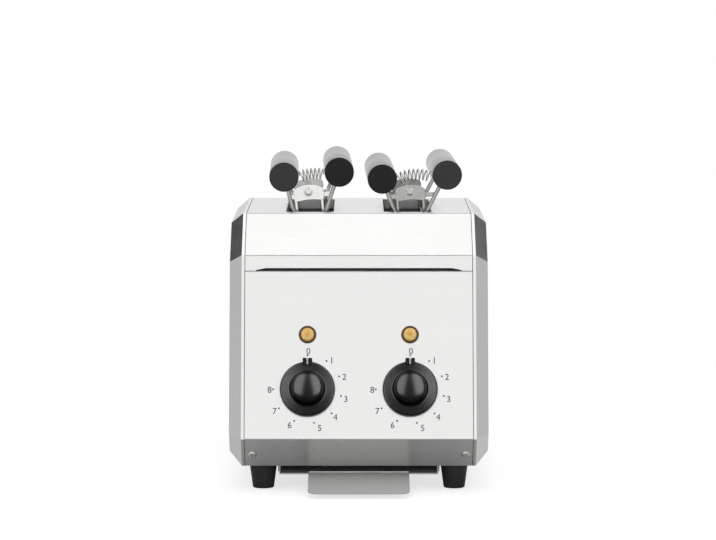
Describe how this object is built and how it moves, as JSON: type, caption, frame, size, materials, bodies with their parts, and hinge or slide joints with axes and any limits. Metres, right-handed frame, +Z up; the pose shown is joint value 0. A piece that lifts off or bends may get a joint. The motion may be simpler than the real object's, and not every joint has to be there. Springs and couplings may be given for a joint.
{
  "type": "hot dog toaster",
  "caption": "Stainless open-top toaster with timer dials, pilot lamps, a crumb tray and lift-out sprung sandwich tongs.",
  "frame": {"origin": "centre of the overall bounding box, on the surface that the feet stand on", "axes": "+X to the right seen from the front, +Y to the back, +Z up; the control panel faces -Y"},
  "size_m": [0.233, 0.399, 0.2962],
  "materials": {
    "satin_steel": "brushed stainless steel sheet",
    "plain_steel": "plain steel sheet",
    "black_rubber": "black rubber",
    "zinc_screws": "zinc-plated steel",
    "reflector": "aluminised steel sheet",
    "quartz": "clear quartz tube",
    "ceramic": "off-white steatite ceramic",
    "bright_wire": "bright drawn steel wire",
    "black_nylon": "black nylon",
    "timer_case": "grey moulded case",
    "knob_plastic": "glossy black phenolic",
    "lamp_black": "black moulded ring",
    "amber_lens": "amber lamp cap",
    "handle_plastic": "black phenolic grip",
    "spring_steel": "spring steel wire"
  },
  "bodies": {
    "housing": {"base_plate": "plain_steel", "cable_gland": "black_nylon", "cable_gland_nut": "black_nylon", "ceramic_holders": "ceramic", "foot_screws": "zinc_screws", "front_heat_shield": "plain_steel", "front_panel": "satin_steel", "heater_guards": "bright_wire", "jaw_rest_bars": "bright_wire", "left_chamber_liner": "reflector", "left_lamp_bezel": "lamp_black", "left_lamp_holder": "lamp_black", "left_lamp_lens": "amber_lens", "left_side_panel": "satin_steel", "left_timer": "timer_case", "left_timer_nut": "zinc_screws", "panel_screws": "zinc_screws", "quartz_tubes": "quartz", "rear_heat_shield": "plain_steel", "rear_panel": "satin_steel", "right_chamber_liner": "reflector", "right_lamp_bezel": "lamp_black", "right_lamp_holder": "lamp_black", "right_lamp_lens": "amber_lens", "right_side_panel": "satin_steel", "right_timer": "timer_case", "right_timer_nut": "zinc_screws", "rubber_feet": "black_rubber", "terminal_block": "black_nylon", "top_cover": "satin_steel", "tray_rails": "plain_steel"},
    "crumb_tray": {"crumb_tray": "satin_steel"},
    "left_knob": {"left_knob": "knob_plastic", "left_timer_shaft": "zinc_screws"},
    "right_knob": {"right_knob": "knob_plastic", "right_timer_shaft": "zinc_screws"},
    "left_tong": {"left_tong_pins": "bright_wire", "left_tong_spring": "spring_steel"},
    "left_tong_left_arm": {"left_tong_left_frame": "bright_wire", "left_tong_left_handle": "handle_plastic"},
    "left_tong_right_arm": {"left_tong_right_frame": "bright_wire", "left_tong_right_handle": "handle_plastic"},
    "right_tong": {"right_tong_pins": "bright_wire", "right_tong_spring": "spring_steel"},
    "right_tong_left_arm": {"right_tong_left_frame": "bright_wire", "right_tong_left_handle": "handle_plastic"},
    "right_tong_right_arm": {"right_tong_right_frame": "bright_wire", "right_tong_right_handle": "handle_plastic"}
  },
  "joints": [
    {"name": "crumb_tray_slide", "type": "slide", "parent": "housing", "child": "crumb_tray", "axis": [0, -1, 0], "range_m": [0, 0.2]},
    {"name": "left_knob_turn", "type": "hinge", "parent": "housing", "child": "left_knob", "pos_m": [-0.046, -0.16677, 0.09368], "axis": [0, -0.9707, 0.2404], "range_deg": [-270, 0]},
    {"name": "right_knob_turn", "type": "hinge", "parent": "housing", "child": "right_knob", "pos_m": [0.046, -0.16677, 0.09368], "axis": [0, -0.9707, 0.2404], "range_deg": [-270, 0]},
    {"name": "left_tong_lift", "type": "slide", "parent": "housing", "child": "left_tong", "axis": [0, 0, 1], "range_m": [0, 0.165]},
    {"name": "left_tong_left_hinge", "type": "hinge", "parent": "left_tong", "child": "left_tong_left_arm", "pos_m": [-0.0476, 0.00691, 0.263], "axis": [-0.0175, 0.9998, 0], "range_deg": [0, 3.5], "stiffness_Nm_per_rad": 0.5, "springref_deg": -17.19, "deforming": ["left_tong_spring"]},
    {"name": "left_tong_right_hinge", "type": "hinge", "parent": "left_tong", "child": "left_tong_right_arm", "pos_m": [-0.0476, 0.00691, 0.263], "axis": [-0.0175, 0.9998, 0], "range_deg": [-3.5, 0]},
    {"name": "right_tong_lift", "type": "slide", "parent": "housing", "child": "right_tong", "axis": [0, 0, 1], "range_m": [0, 0.165]},
    {"name": "right_tong_left_hinge", "type": "hinge", "parent": "right_tong", "child": "right_tong_left_arm", "pos_m": [0.0462, 0.00691, 0.263], "axis": [-0.014, 0.9999, 0], "range_deg": [0, 3.5], "stiffness_Nm_per_rad": 0.5, "springref_deg": -17.19, "deforming": ["right_tong_spring"]},
    {"name": "right_tong_right_hinge", "type": "hinge", "parent": "right_tong", "child": "right_tong_right_arm", "pos_m": [0.0462, 0.00691, 0.263], "axis": [-0.014, 0.9999, 0], "range_deg": [-3.5, 0]}
  ],
  "couplings": [
    {"joint": "left_tong_right_hinge", "follows": "left_tong_left_hinge", "ratio": -1},
    {"joint": "right_tong_right_hinge", "follows": "right_tong_left_hinge", "ratio": -1}
  ]
}
